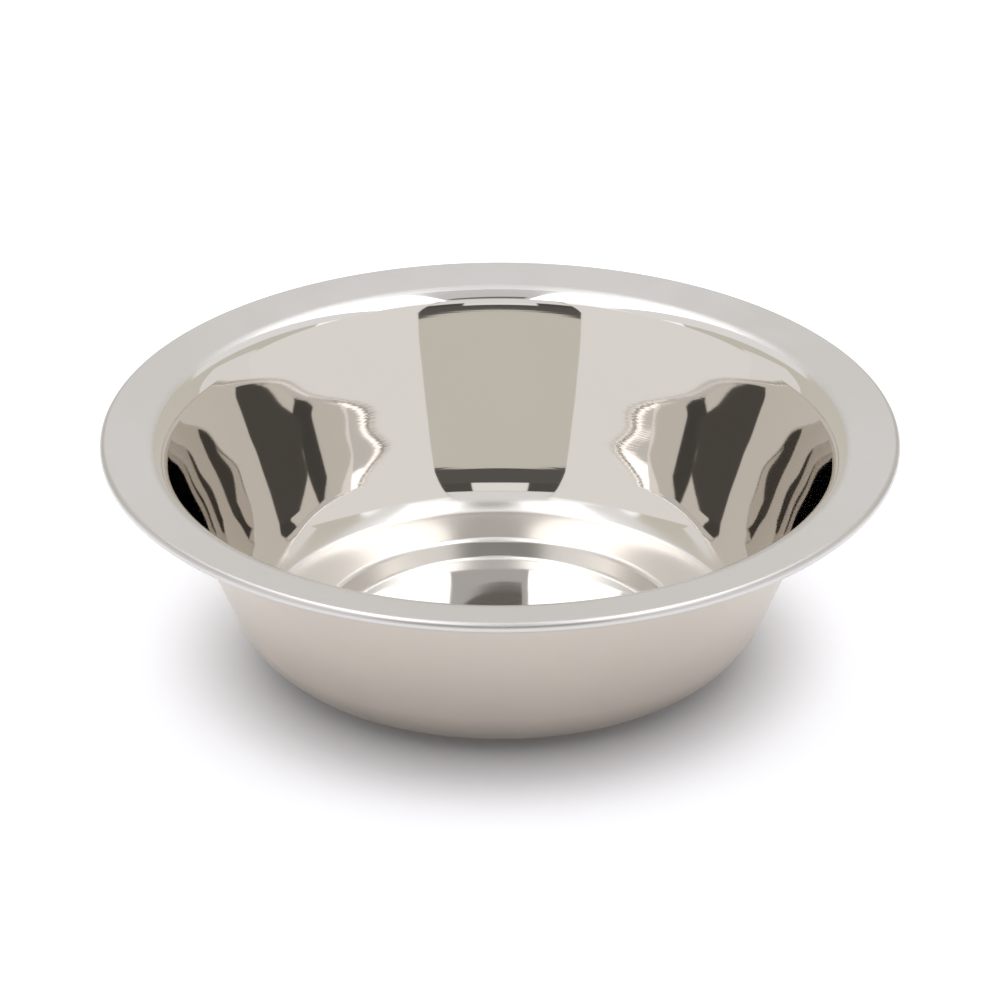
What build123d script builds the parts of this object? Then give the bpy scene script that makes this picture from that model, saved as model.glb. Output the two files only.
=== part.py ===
from build123d import *
import math
import os

# A wide-rimmed steel mixing bowl, drawn from one round blank of sheet and left in one piece.
# Millimetres. The bowl stands on its foot at Z = 0, its axis is Z, and its mouth opens upwards.

# Driving dimensions
rim_diameter = 280.0       # over the rolled edge
rim_height = 81.4          # top of the rolled edge above the table
sheet = 0.7                # thickness of the steel sheet
curl_diameter = 3.8        # outside size of the rolled edge
curl_turn = 280.0          # degrees of sheet rolled under, short of touching the flange
flange_width = 13.7        # from the rolled edge in to the mouth's rounding
flange_rise = 1.7          # the flange climbs this much on its way out to the rolled edge
mouth_radius = 10.0        # rounding from the flange into the wall, upper face
wall_angle = 67.4          # steepness of the wall, in degrees from level
heel_angle = 41.0          # steepness of the heel under the wall, in degrees from level
heel_setback = 4.4         # the heel meets the ledge this far inside the wall's own line
heel_flat = 0.3            # straight sheet left between the heel's two roundings
ledge_edge_radius = 3.0    # rounding from the heel into the ledge, inside
ledge_width = 21.0         # from the heel in to the side of the foot
ledge_height = 6.5         # underside of the floor ledge above the table
foot_angle = 64.0          # steepness of the foot's side, in degrees from level
foot_top_radius = 2.6      # rounding from the ledge into the foot's side, upper face
foot_bottom_radius = 2.0   # rounding from the foot's side into its flat bottom, inside

half = sheet / 2
curl_radius = curl_diameter / 2 - half
flange_slope = math.degrees(math.atan2(flange_rise, flange_width))


def along(angle):
    """A step of 1 mm in the section's plane, this many degrees above level."""
    return Vector(math.cos(math.radians(angle)), math.sin(math.radians(angle)))


def down_to(start, angle, height):
    """Where a straight line falling inwards from a point comes down to a height."""
    return start - along(angle) * ((start.Y - height) / math.sin(math.radians(angle)))


def reach(radius, turn):
    """How much straight sheet on either side of a corner its rounding takes up."""
    return radius * math.tan(math.radians(turn / 2))


# Corners of the sheet's middle line, where its straight stretches meet before they are rounded
curl_centre = Vector(rim_diameter / 2 - curl_diameter / 2, rim_height - curl_diameter / 2)
flange_end = curl_centre + along(flange_slope + 90) * curl_radius
flange_start = flange_end - Vector(flange_width, flange_rise)
mouth_turn = wall_angle - flange_slope
mouth_corner = flange_start - along(flange_slope) * reach(mouth_radius - half, mouth_turn)

ledge_level = ledge_height + half
ledge_corner = down_to(mouth_corner, wall_angle, ledge_level) - Vector(heel_setback, 0)
heel_turn = wall_angle - heel_angle
heel_length = heel_setback * math.sin(math.radians(wall_angle)) / math.sin(math.radians(heel_turn))
heel_corner = ledge_corner + along(heel_angle) * heel_length
heel_reach = heel_length - heel_flat - reach(ledge_edge_radius + half, heel_angle)
heel_radius = heel_reach / math.tan(math.radians(heel_turn / 2))

foot_top = ledge_corner - Vector(ledge_width, 0)
foot_corner = down_to(foot_top, foot_angle, half)
floor_centre = Vector(0, half)


def sheet_section():
    """The cut through one side of the bowl, from its axis out to the rolled edge."""
    drawn = FilletPolyline(
        floor_centre,
        foot_corner,
        foot_top,
        ledge_corner,
        heel_corner,
        mouth_corner,
        flange_end,
        radius=[
            foot_bottom_radius + half,
            foot_top_radius - half,
            ledge_edge_radius + half,
            heel_radius,
            mouth_radius - half,
        ],
    )
    rolled = CenterArc(curl_centre, curl_radius, 90 + flange_slope, -curl_turn)
    middle = Wire([*drawn.edges(), *rolled.edges()])
    outline = middle.offset_2d(half, kind=Kind.INTERSECTION, side=Side.BOTH, closed=True)
    return Face(outline)


def make_bowl():
    """The section stood upright and turned once round the bowl's axis."""
    return revolve(sheet_section().rotate(Axis.X, 90), Axis.Z, 360)


if __name__ == "__main__":
    os.makedirs("parts", exist_ok=True)
    export_step(make_bowl(), "parts/bowl.step")
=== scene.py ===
import math

import bpy
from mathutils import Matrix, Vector


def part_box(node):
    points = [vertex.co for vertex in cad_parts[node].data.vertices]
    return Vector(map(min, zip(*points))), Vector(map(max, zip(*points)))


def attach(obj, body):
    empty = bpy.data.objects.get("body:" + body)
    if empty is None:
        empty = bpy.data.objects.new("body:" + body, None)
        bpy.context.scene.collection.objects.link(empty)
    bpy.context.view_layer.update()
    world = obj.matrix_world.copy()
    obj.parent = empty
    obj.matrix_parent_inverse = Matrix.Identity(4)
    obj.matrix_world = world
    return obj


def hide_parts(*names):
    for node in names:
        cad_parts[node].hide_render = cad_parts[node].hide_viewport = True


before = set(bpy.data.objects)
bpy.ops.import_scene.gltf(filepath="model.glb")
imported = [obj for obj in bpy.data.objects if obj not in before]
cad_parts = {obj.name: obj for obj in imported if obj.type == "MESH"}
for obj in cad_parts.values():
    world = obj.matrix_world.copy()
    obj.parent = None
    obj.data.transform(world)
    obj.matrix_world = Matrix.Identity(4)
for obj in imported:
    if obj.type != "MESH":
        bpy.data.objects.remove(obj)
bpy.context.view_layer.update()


# The bowl: one round blank of stainless sheet, drawn to a straight-sided bowl with a wide flange.
# The floor is stepped down to a foot, and the flange's edge is rolled under on a lathe.
# The inside is buffed to a mirror, the flange and the outside are left a fine satin.
mm = 0.001
low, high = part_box("bowl")
rim_radius = (high.x - low.x) / 2
rim_height = high.z
sheet = 0.7 * mm
curl_diameter = 3.8 * mm
curl_turn = math.radians(280)
flange_width = 13.7 * mm
flange_rise = 1.7 * mm
mouth_radius = 10 * mm
wall_angle = math.radians(67.4)
heel_angle = math.radians(41)
heel_setback = 4.4 * mm
heel_flat = 0.3 * mm
ledge_edge_radius = 3 * mm
ledge_width = 21 * mm
ledge_height = 6.5 * mm
foot_angle = math.radians(64)
foot_top_radius = 2.6 * mm
foot_bottom_radius = 2 * mm
mouth_blend = 3 * mm              # the mirror polish ends this far inside the flange
wave_lean = math.radians(2.7)     # how much steeper the drawn wall stands halfway up
wave_low = 28 * mm                # the wave in the wall begins and ends at these heights
wave_high = 71 * mm
wave_fade = math.radians(12)      # it dies out where the sheet runs this far off the wall's angle
wave_flatness = 3                 # how blunt its middle is
end_sweep = math.radians(5)       # below and above those heights the wall eases back instead
ripple_lean = math.radians(0.4)
ripple_height = 46 * mm           # one crest of the ripple
ripple_length = 17.5 * mm

half = sheet / 2
turn_steps = 28            # facets in each rounding of the section
curl_steps = 64
edge_steps = 8             # facets round the cut edge of the sheet
straight_step = 2.5 * mm
rings_round = 384          # facets round the axis
on_axis = 0.001 * mm       # nearer than this, the ring is a single point


def heading(angle):
    """A step of length 1 in the section's plane, as (outwards, upwards)."""
    return Vector((math.cos(angle), math.sin(angle)))


def left_of(angle):
    """The side of the sheet that faces up and inwards."""
    return Vector((-math.sin(angle), math.cos(angle)))


def down_to(start, angle, level):
    """Where a straight line falling inwards from a point comes down to a level."""
    return start - heading(angle) * ((start.y - level) / math.sin(angle))


def reach(radius, turn):
    """How much straight sheet on either side of a corner its rounding takes up."""
    return radius * math.tan(turn / 2)


def straight(start, stop, angle):
    """Points along a straight stretch, each with the way that the sheet runs there."""
    count = max(2, round((stop - start).length / straight_step))
    return [(start.lerp(stop, i / count), angle) for i in range(count + 1)]


def bend(start, angle, turn, radius, steps):
    """Points round a bend: a positive turn climbs, a negative one falls away."""
    side = math.copysign(1, turn)
    centre = start + side * radius * left_of(angle)
    turned = [angle + turn * i / steps for i in range(1, steps)]
    return [(centre - side * radius * left_of(a), a) for a in turned]


def rounded_line(corners, radii):
    """A line through the corners, with each inner corner turned on its own radius."""
    corners = [Vector(corner) for corner in corners]
    ways = [math.atan2(b.y - a.y, b.x - a.x) for a, b in zip(corners, corners[1:])]
    line, start = [], corners[0]
    for corner, before, after, radius in zip(corners[1:], ways, ways[1:], radii):
        taken = reach(radius, abs(after - before))
        stop = corner - taken * heading(before)
        line += straight(start, stop, before)
        line += bend(stop, before, after - before, radius, turn_steps)
        start = corner + taken * heading(after)
    return line + straight(start, corners[-1], ways[-1])


def drawn_wave(at, way):
    """How far the face turns from a true cone: the wall is steeper halfway up, with a ripple.

    It turns the shading only. The foot's riser runs nearly as steep as the wall, so it turns too.
    """
    from_middle = abs(2 * (at.y - wave_low) / (wave_high - wave_low) - 1)
    if from_middle < 1:
        steeper = wave_lean * (1 - from_middle ** wave_flatness)
    else:
        steeper = end_sweep * (1 - from_middle)
    steeper += ripple_lean * math.cos(2 * math.pi * (at.y - ripple_height) / ripple_length)
    return steeper * min(1, max(0, 1 - abs(way - wall_angle) / wave_fade))


# the middle of the sheet, from the axis out to the flange, and then the roll
curl_radius = curl_diameter / 2 - half
curl_centre = Vector((rim_radius - curl_diameter / 2, rim_height - curl_diameter / 2))
flange_slope = math.atan2(flange_rise, flange_width)
flange_end = curl_centre + curl_radius * left_of(flange_slope)
flange_start = flange_end - Vector((flange_width, flange_rise))
mouth_reach = reach(mouth_radius - half, wall_angle - flange_slope)
mouth_corner = flange_start - mouth_reach * heading(flange_slope)

ledge_corner = down_to(mouth_corner, wall_angle, ledge_height + half) - Vector((heel_setback, 0))
heel_turn = wall_angle - heel_angle
heel_length = heel_setback * math.sin(wall_angle) / math.sin(heel_turn)
heel_corner = ledge_corner + heel_length * heading(heel_angle)
heel_reach = heel_length - heel_flat - reach(ledge_edge_radius + half, heel_angle)
heel_radius = heel_reach / math.tan(heel_turn / 2)
foot_top = ledge_corner - Vector((ledge_width, 0))
foot_corner = down_to(foot_top, foot_angle, half)

section_corners = [(0, half), foot_corner, foot_top, ledge_corner, heel_corner, mouth_corner, flange_end]
roundings = [
    foot_bottom_radius + half,
    foot_top_radius - half,
    ledge_edge_radius + half,
    heel_radius,
    mouth_radius - half,
]
drawn = rounded_line(section_corners, roundings)
rolled = bend(flange_end, flange_slope, -curl_turn, curl_radius, curl_steps)
middle = drawn + rolled
edge_at, edge_way = middle[-1]

# the outline of the section: the upper face, round the cut edge, and back along the underside
upper = [(at + half * left_of(way), left_of(way + drawn_wave(at, way))) for at, way in middle]
under = [(at - half * left_of(way), -left_of(way)) for at, way in reversed(middle)]
cut_edge = [
    (edge_at + half * left_of(edge_way - turn), left_of(edge_way - turn))
    for turn in (math.pi * i / edge_steps for i in range(1, edge_steps))
]
outline = upper + cut_edge + under
disc_stretches = sum(at.x < foot_corner.x - foot_bottom_radius for at, way in middle)
mirror_stretches = sum(at.x < flange_start.x - mouth_blend for at, way in middle)
flange_stretches = len(upper) + len(cut_edge)

verts, normals, rings = [], [], []
for at, out in outline:
    count = 1 if at.x < on_axis else rings_round
    first = len(verts)
    for i in range(count):
        turn = 2 * math.pi * i / rings_round
        verts.append((at.x * math.cos(turn), at.x * math.sin(turn), at.y))
        normals.append((out.x * math.cos(turn), out.x * math.sin(turn), out.y))
    rings.append([first + i % count for i in range(rings_round + 1)])

faces, finishes = [], []
for stretch, (inner, outer) in enumerate(zip(rings, rings[1:])):
    finish = sum(stretch >= last for last in (disc_stretches, mirror_stretches, flange_stretches))
    for i in range(rings_round):
        corners = (inner[i], inner[i + 1], outer[i + 1], outer[i])
        faces.append([v for k, v in enumerate(corners) if v not in corners[:k]][::-1])
        finishes.append(finish)

mesh = bpy.data.meshes.new("bowl_shell")
mesh.from_pydata(verts, [], faces)
mesh.polygons.foreach_set("use_smooth", [True] * len(faces))
mesh.polygons.foreach_set("material_index", finishes)
mesh.normals_split_custom_set_from_vertices(normals)
mesh.update()
bowl = bpy.data.objects.new("bowl_shell", mesh)
bpy.context.collection.objects.link(bowl)


class Value:
    """A socket of a shader node, with plain arithmetic that adds the Math nodes."""

    def __init__(self, tree, socket):
        self.tree = tree
        self.socket = socket

    def maths(self, operation, *others):
        """One Math node on this value and the others."""
        return self.node("ShaderNodeMath", {"operation": operation}, [self, *others])

    def node(self, kind, settings=None, sockets=(), output=0):
        """Any other node: its settings first, then its sockets as values or links."""
        made = self.tree.nodes.new(kind)
        for name, value in (settings or {}).items():
            setattr(made, name, value)
        pairs = sockets.items() if isinstance(sockets, dict) else enumerate(sockets)
        for name, value in pairs:
            if isinstance(value, Value):
                self.tree.links.new(value.socket, made.inputs[name])
            else:
                made.inputs[name].default_value = value
        return Value(self.tree, made.outputs[output])

    def __add__(self, other):
        return self.maths("ADD", other)

    def __mul__(self, other):
        return self.maths("MULTIPLY", other)

    def __truediv__(self, other):
        return self.maths("DIVIDE", other)

    def __rtruediv__(self, other):
        return self.node("ShaderNodeMath", {"operation": "DIVIDE"}, [other, self])

    __radd__ = __add__
    __rmul__ = __mul__


cloud_lumps = 28           # lumps to the metre, in the colour of any of the steels
gloss_lumps = 60           # and in its gloss
brushing_turn = 0.25       # a quarter turn
mix_factor, mix_dark, mix_light, mix_colour = 0, 6, 7, 2   # a Mix node's sockets when it mixes colours


def cloud(place, scale, detail):
    """Soft noise, so many lumps to the metre."""
    return place.node("ShaderNodeTexNoise", {}, {"Vector": place, "Scale": scale, "Detail": detail})


def coordinate(place, axis):
    """One coordinate of a place: 0 and 1 are level, 2 is up."""
    return place.node("ShaderNodeSeparateXYZ", {}, [place], axis)


def turned_lines(place, pitch):
    """Fine rings that a tool leaves round the axis, by distance from it and by height."""
    across, along, up = [coordinate(place, axis) for axis in range(3)]
    out = (across * across + along * along).maths("SQRT")
    sockets = {"W": (out + up) / pitch, "Scale": 1.0, "Detail": 2.0}
    return place.node("ShaderNodeTexNoise", {"noise_dimensions": "1D"}, sockets)


def steel(name, colour, spread, roughness, variation, anisotropic=0.0, dulled=()):
    """A metal shader and its coordinates. Its colour and its gloss are clouded a little."""
    material = bpy.data.materials.new(name)
    material.use_nodes = True
    mesh.materials.append(material)
    tree = material.node_tree
    shader = tree.nodes["Principled BSDF"]
    shader.inputs["Metallic"].default_value = 1
    shader.inputs["Anisotropic"].default_value = anisotropic
    shader.inputs["Anisotropic Rotation"].default_value = brushing_turn
    place = Value(tree, tree.nodes.new("ShaderNodeTexCoord").outputs["Object"])
    clouds = cloud(place, cloud_lumps, detail=3)
    light, dark = [(*(c * k for c in colour), 1) for k in (1 + spread, 1 - spread)]
    mixed = {mix_factor: clouds, mix_dark: dark, mix_light: light}
    tint = place.node("ShaderNodeMix", {"data_type": "RGBA"}, mixed, mix_colour)
    tree.links.new(tint.socket, shader.inputs["Base Color"])
    gloss = cloud(place, gloss_lumps, detail=4) * (2 * variation) + (roughness - variation)
    for clear_height, dull_height, added in dulled:
        up = coordinate(place, 2)
        gloss = gloss + up.node("ShaderNodeMapRange", {}, [up, clear_height, dull_height, 0.0, added])
    tree.links.new(gloss.socket, shader.inputs["Roughness"])
    return shader, place


def relief(shader, height, depth):
    """Raises the surface by way of a bump: a height of 1 stands for this depth in metres."""
    bump = height.node("ShaderNodeBump", {}, {"Strength": 1.0, "Distance": depth, "Height": height})
    height.tree.links.new(bump.socket, shader.inputs["Normal"])


# the flat bottom of the foot, where the polishing rings are plainest
shader, place = steel(
    "polished_floor_steel", (0.70, 0.68, 0.655),
    spread=0.01, roughness=0.08, variation=0.015, anisotropic=0.5,
)
relief(shader, turned_lines(place, pitch=1.2 * mm), depth=0.002 * mm)

# the mirror-bright inside, which still waves a little where it was drawn and is duller at its
# foot and at its mouth, where the buffing wheel doesn't reach
swell = 0.10               # heights of the soft swells and of the polishing rings, in millimetres
swell_lumps = 26
polish_lines = 0.001
shader, place = steel(
    "mirror_polished_steel", (0.70, 0.667, 0.625),
    spread=0.012, roughness=0.035, variation=0.012,
    dulled=[(13 * mm, 8 * mm, 0.22), (77.5 * mm, 79.5 * mm, 0.14)],
)
swells = cloud(place, swell_lumps, detail=0) * swell
relief(shader, swells + turned_lines(place, pitch=0.9 * mm) * polish_lines, depth=1 * mm)

# the satin flange and its rolled edge, its colour set darker than the inside's steel as painted shade
satin_depth = 0.006 * mm
shader, place = steel(
    "satin_flange_steel", (0.60, 0.58, 0.56),
    spread=0.02, roughness=0.34, variation=0.05, anisotropic=0.3,
)
relief(shader, turned_lines(place, pitch=0.35 * mm), satin_depth)

# the satin outside, with faint broad marks of the press, its colour set darker than the inside's steel
# as painted shade
press_marks = 2.0
press_lumps = 45
shader, place = steel(
    "satin_outside_steel", (0.615, 0.565, 0.50),
    spread=0.03, roughness=0.34, variation=0.06, anisotropic=0.3,
)
marks = cloud(place, press_lumps, detail=2) * press_marks
relief(shader, turned_lines(place, pitch=0.5 * mm) + marks, satin_depth)

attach(bowl, "root")
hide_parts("bowl")


# The studio: a white table top, a large soft box on either side that leans over the bowl, a soft
# light above, and the dark room that shows between the two boxes over the camera.
def card(name, corners, colour, strength):
    """A flat, evenly glowing sheet between its corners."""
    card_mesh = bpy.data.meshes.new(name)
    card_mesh.from_pydata(corners, [], [range(len(corners))])
    made = bpy.data.objects.new(name, card_mesh)
    bpy.context.collection.objects.link(made)
    made.visible_camera = False
    material = bpy.data.materials.new(name)
    material.use_nodes = True
    tree = material.node_tree
    tree.nodes.remove(tree.nodes["Principled BSDF"])
    glow = tree.nodes.new("ShaderNodeEmission")
    glow.inputs["Color"].default_value = (*colour, 1)
    glow.inputs["Strength"].default_value = strength
    tree.links.new(glow.outputs[0], tree.nodes["Material Output"].inputs["Surface"])
    card_mesh.materials.append(material)


# the table top, with painted light: it glows from within, the more the farther it lies from a spot just
# in front of the bowl's axis, so the bowl's shadow fades to white sooner
table_reach = 4
painted_light_centre = (0, -0.009, 0)
painted_light_start = 0.077
painted_light_full = 0.122
painted_light_strength = 0.36

floor_mesh = bpy.data.meshes.new("table_top")
floor_corners = [(across * table_reach, along * table_reach, 0) for across, along in
                 ((-1, -1), (1, -1), (1, 1), (-1, 1))]
floor_mesh.from_pydata(floor_corners, [], [(0, 1, 2, 3)])
floor = bpy.data.objects.new("table_top", floor_mesh)
bpy.context.collection.objects.link(floor)
floor_paint = bpy.data.materials.new("table_top")
floor_paint.use_nodes = True
tree = floor_paint.node_tree
paint = tree.nodes["Principled BSDF"]
paint.inputs["Base Color"].default_value = (0.84, 0.845, 0.90, 1)
paint.inputs["Roughness"].default_value = 0.9
place = Value(tree, tree.nodes.new("ShaderNodeTexCoord").outputs["Object"])
out = place.node("ShaderNodeVectorMath", {"operation": "DISTANCE"}, [place, painted_light_centre], "Value")
ends = {"Value": out, "From Min": painted_light_start, "From Max": painted_light_full}
glow = place.node("ShaderNodeMapRange", {"interpolation_type": "SMOOTHSTEP"}, ends)
# painted light: the table's emission, none close to the bowl and full a little farther out
tree.links.new(glow.socket, paint.inputs["Emission Color"])
paint.inputs["Emission Strength"].default_value = painted_light_strength
floor_mesh.materials.append(floor_paint)

white = (1.0, 0.99, 0.98)
cool = (0.98, 0.99, 1.02)
room = (1.0, 0.96, 0.92)

# a soft box on either side, with a brighter top that leans in, and a pale wall beyond
box_distance = 1.6
box_facing = math.radians(25)
box_front, box_back = 29.2, 95    # its upright edges, as degrees from the camera's side
box_foot, box_height = 0.03, 2.1
top_back, top_far_back = 75, 68   # the back edge of its top, below and above
top_height, top_lean = 3.0, 0.9


def beside(heading_from_camera, up, inwards=0.0):
    """A point on the right box's plane, so many degrees round from the camera's side."""
    along = box_distance * math.tan(math.radians(heading_from_camera) - box_facing)
    distance = box_distance - inwards
    x = distance * math.sin(box_facing) + along * math.cos(box_facing)
    y = -distance * math.cos(box_facing) + along * math.sin(box_facing)
    return (x, y, up)


def pair(name, spots, colour, strength):
    """Two cards that mirror each other, to the left and to the right of the camera."""
    for side, which in ((-1, "left"), (1, "right")):
        card(f"{name}_{which}", [(side * x, y, z) for x, y, z in spots], colour, strength)


box = [
    beside(box_front, box_foot),
    beside(box_back, box_foot),
    beside(box_back, box_height),
    beside(box_front, box_height),
]
top = [
    beside(box_front, box_height),
    beside(top_back, box_height),
    beside(top_far_back, top_height, top_lean),
    beside(box_front, top_height, top_lean),
]
pair("soft_box", box, white, 0.96)
pair("side_wall", [(4.6, 0.4, 0.15), (3.6, 2.2, 0.15), (3.6, 2.2, 2.6), (4.6, 0.4, 2.6)], white, 0.93)
pair("box_top", top, cool, 1.4)

# the dark room over the camera, with a small window in it and the ceiling above
# each of these is the (forward, up) of a level edge, with the camera's side below zero
room_low, room_high = (-1.5, 0.69), (-1.2, 1.03)
window_high = (-1.0, 1.21)
ceiling_start, ceiling_end = (-0.99, 1.22), (-0.76, 1.58)


def over_camera(name, low, low_width, high, high_width, colour, strength):
    """A card over the camera, between two level edges, each at (forward, up) and so wide."""
    edges = ((-low_width, low), (low_width, low), (high_width, high), (-high_width, high))
    card(name, [(across, *spot) for across, spot in edges], colour, strength)


over_camera("room", room_low, 0.83, room_high, 0.67, room, 0.12)
over_camera("window", room_high, 0.30, window_high, 0.26, white, 1.0)
over_camera("ceiling", ceiling_start, 0.55, ceiling_end, 0.38, cool, 0.95)
room_side = [(0.31, *room_high), (0.67, *room_high), (0.56, *window_high), (0.27, *window_high)]
pair("room_side", room_side, room, 0.10)

# overhead: a broad soft light, with two bright ones under it, a duller gap and a dark arm between them
def overhead(name, spots, height, colour, strength):
    """A level card over the bowl."""
    card(name, [(x, y, height) for x, y in spots], colour, strength)


sky_height, key_height, arm_height = 1.66, 1.6, 1.57
key_strength = 2.7
front, rear = -0.75, 1.3                            # the ends of the two bright lights
gap_front, gap_back = (-0.2, 0.38), (-0.16, 0.16)   # left and right side of the gap at each end
left_key = [(-0.85, front), (gap_front[0], front), (gap_back[0], rear), (-0.6, rear)]
right_key = [(gap_front[1], front), (1.0, front), (0.6, rear), (gap_back[1], rear)]
gap = [(gap_front[0], front), (gap_front[1], front), (gap_back[1], rear), (gap_back[0], rear)]
overhead("sky", [(-1.5, -0.78), (1.5, -0.78), (1.5, 1.8), (-1.5, 1.8)], sky_height, cool, 1.0)
overhead("key_left", left_key, key_height, cool, key_strength)
overhead("key_right", right_key, key_height, cool, key_strength)
overhead("gap", gap, key_height, cool, 0.75)

# the dark arm: a quarter of an oval over a straight front edge
arm_left, arm_middle, arm_front = -0.15, -0.53, -0.66
arm_length, arm_bulge, arm_steps = 0.47, 0.1, 6
arm_turns = [math.radians(90 * i / arm_steps) for i in range(arm_steps + 1)]
arm = [(arm_left + arm_length * math.sin(a), arm_middle + arm_bulge * math.cos(a)) for a in arm_turns]
arm += [(arm_left + arm_length, arm_front), (arm_left, arm_front)]
overhead("dark_arm", arm, arm_height, room, 0.22)

# behind: one pale panel that lights the flange
card("panel_behind", [(-0.4, 1.6, 0.6), (0.4, 1.6, 0.6), (0.4, 1.6, 1.0), (-0.4, 1.6, 1.0)], cool, 1.2)

# the warm grey of the rest of the studio
world = bpy.data.worlds.new("studio")
world.use_nodes = True
background = world.node_tree.nodes["Background"]
background.inputs["Color"].default_value = (0.715, 0.695, 0.64, 1)
background.inputs["Strength"].default_value = 1.0
bpy.context.scene.world = world


# The camera: a long lens almost three metres away, looking down on the bowl from the front. It
# aims below the rim, at a spot on the bowl's axis.
camera_elevation = math.radians(27.5)
camera_distance = 2.81
aim_below_rim = 0.0257
camera = bpy.data.objects.new("camera", bpy.data.cameras.new("camera"))
bpy.context.collection.objects.link(camera)
camera.data.sensor_width = 36
camera.data.lens = 288
camera.data.clip_end = 50
aim = Vector((0, 0, rim_height - aim_below_rim))
back = Vector((0, -math.cos(camera_elevation), math.sin(camera_elevation)))
camera.location = aim + camera_distance * back
camera.rotation_euler = (-back).to_track_quat("-Z", "Y").to_euler()
bpy.context.scene.camera = camera
bpy.context.scene.view_settings.view_transform = "Standard"
